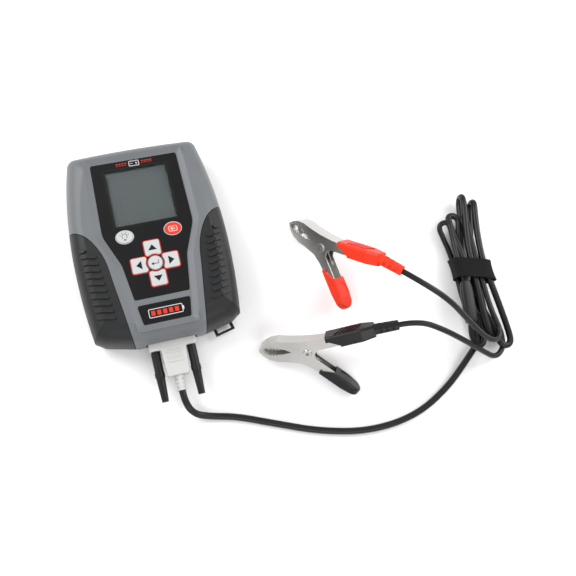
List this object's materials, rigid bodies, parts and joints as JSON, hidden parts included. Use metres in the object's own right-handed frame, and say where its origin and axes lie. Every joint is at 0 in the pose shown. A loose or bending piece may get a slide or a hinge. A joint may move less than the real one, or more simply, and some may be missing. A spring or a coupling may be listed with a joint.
{
  "type": "battery tester",
  "caption": "Hand-held battery tester lying on its back, with a plug-in test cable, a tied hank of spare cable and a red and a black clamp clip.",
  "frame": {"origin": "centre of the case's outline, on the surface that the tester lies on", "axes": "+Z out of the tester's face, +Y towards its screen end, +X towards its right-hand side"},
  "size_m": [0.4056, 0.3125, 0.0824],
  "materials": {
    "grey_shell": "fine satin texture",
    "grip_rubber": "matt",
    "black_sheet": "satin",
    "window": "clear",
    "lcd_glass": "satin",
    "steel": "brushed",
    "nickel": "bright nickel",
    "key_white": "satin",
    "key_red": "satin",
    "board": "solder mask",
    "black_plastic": "satin",
    "white_plastic": "satin",
    "ceramic": "matt",
    "cell": "satin sleeve",
    "brass": "bright",
    "black_rubber": "satin",
    "red_rubber": "satin",
    "strap": "woven hook and loop"
  },
  "bodies": {
    "tester": {"front_cover": "grey_shell", "rear_cover": "grey_shell", "left_grip": "grip_rubber", "right_grip": "grip_rubber", "strap_loop": "black_plastic", "case_screws": "steel", "keypad_overlay": "black_sheet", "name_plate": "black_sheet", "screen_window": "window", "lcd_panel": "lcd_glass", "lcd_frame": "steel", "dome_sheet": "board", "main_board": "board", "board_screws": "steel", "load_resistors": "ceramic", "buzzer": "black_plastic", "battery_cells": "cell", "battery_contacts": "steel", "data_socket": "black_plastic", "jack_posts": "brass", "hood_upper": "white_plastic", "hood_lower": "white_plastic", "plug_insert": "nickel", "plug_relief": "white_plastic", "main_cable": "black_rubber", "red_lead": "black_rubber", "black_lead": "black_rubber", "cable_hank": "black_rubber", "hank_strap": "strap", "cable_splitter": "black_rubber", "red_upper_jaw": "nickel", "red_rivet": "nickel", "red_spring": "steel", "red_boot": "red_rubber", "black_upper_jaw": "nickel", "black_rivet": "nickel", "black_spring": "steel", "black_boot": "black_rubber"},
    "light_button": {"key_light": "key_white"},
    "escape_button": {"key_escape": "key_red"},
    "enter_button": {"key_enter": "key_white"},
    "up_button": {"key_up": "key_white"},
    "down_button": {"key_down": "key_white"},
    "left_button": {"key_left": "key_white"},
    "right_button": {"key_right": "key_white"},
    "door": {"battery_door": "grey_shell"},
    "left_thumb": {"thumbscrew_left": "black_plastic"},
    "right_thumb": {"thumbscrew_right": "black_plastic"},
    "red_jaw": {"red_lower_jaw": "nickel", "red_handle_sleeve": "red_rubber"},
    "black_jaw": {"black_lower_jaw": "nickel", "black_handle_sleeve": "black_rubber"}
  },
  "joints": [
    {"name": "light_press", "type": "slide", "parent": "tester", "child": "light_button", "axis": [0, 0, -1], "range_m": [0, 0.0006], "stiffness_N_per_m": 900},
    {"name": "escape_press", "type": "slide", "parent": "tester", "child": "escape_button", "axis": [0, 0, -1], "range_m": [0, 0.0006], "stiffness_N_per_m": 900},
    {"name": "enter_press", "type": "slide", "parent": "tester", "child": "enter_button", "axis": [0, 0, -1], "range_m": [0, 0.0006], "stiffness_N_per_m": 900},
    {"name": "up_press", "type": "slide", "parent": "tester", "child": "up_button", "axis": [0, 0, -1], "range_m": [0, 0.0006], "stiffness_N_per_m": 900},
    {"name": "down_press", "type": "slide", "parent": "tester", "child": "down_button", "axis": [0, 0, -1], "range_m": [0, 0.0006], "stiffness_N_per_m": 900},
    {"name": "left_press", "type": "slide", "parent": "tester", "child": "left_button", "axis": [0, 0, -1], "range_m": [0, 0.0006], "stiffness_N_per_m": 900},
    {"name": "right_press", "type": "slide", "parent": "tester", "child": "right_button", "axis": [0, 0, -1], "range_m": [0, 0.0006], "stiffness_N_per_m": 900},
    {"name": "door_slide", "type": "slide", "parent": "tester", "child": "door", "axis": [0, -1, 0], "range_m": [0, 0.008]},
    {"name": "left_thumbscrew_turn", "type": "hinge", "parent": "tester", "child": "left_thumb", "pos_m": [-0.01666, -0.12, 0.017], "axis": [0, -1, 0], "continuous": true},
    {"name": "right_thumbscrew_turn", "type": "hinge", "parent": "tester", "child": "right_thumb", "pos_m": [0.01666, -0.12, 0.017], "axis": [0, -1, 0], "continuous": true},
    {"name": "red_clip_squeeze", "type": "hinge", "parent": "tester", "child": "red_jaw", "pos_m": [0.163, -0.0368, 0.026], "axis": [-0.8286, -0.1621, 0.5359], "range_deg": [0, 30], "stiffness_Nm_per_rad": 0.25, "springref_deg": -45.84, "deforming": ["red_spring"]},
    {"name": "black_clip_squeeze", "type": "hinge", "parent": "tester", "child": "black_jaw", "pos_m": [0.1221, -0.1301, 0.0196], "axis": [-0.3826, -0.5085, 0.7714], "range_deg": [0, 30], "stiffness_Nm_per_rad": 0.25, "springref_deg": -45.84, "deforming": ["black_spring"]}
  ]
}
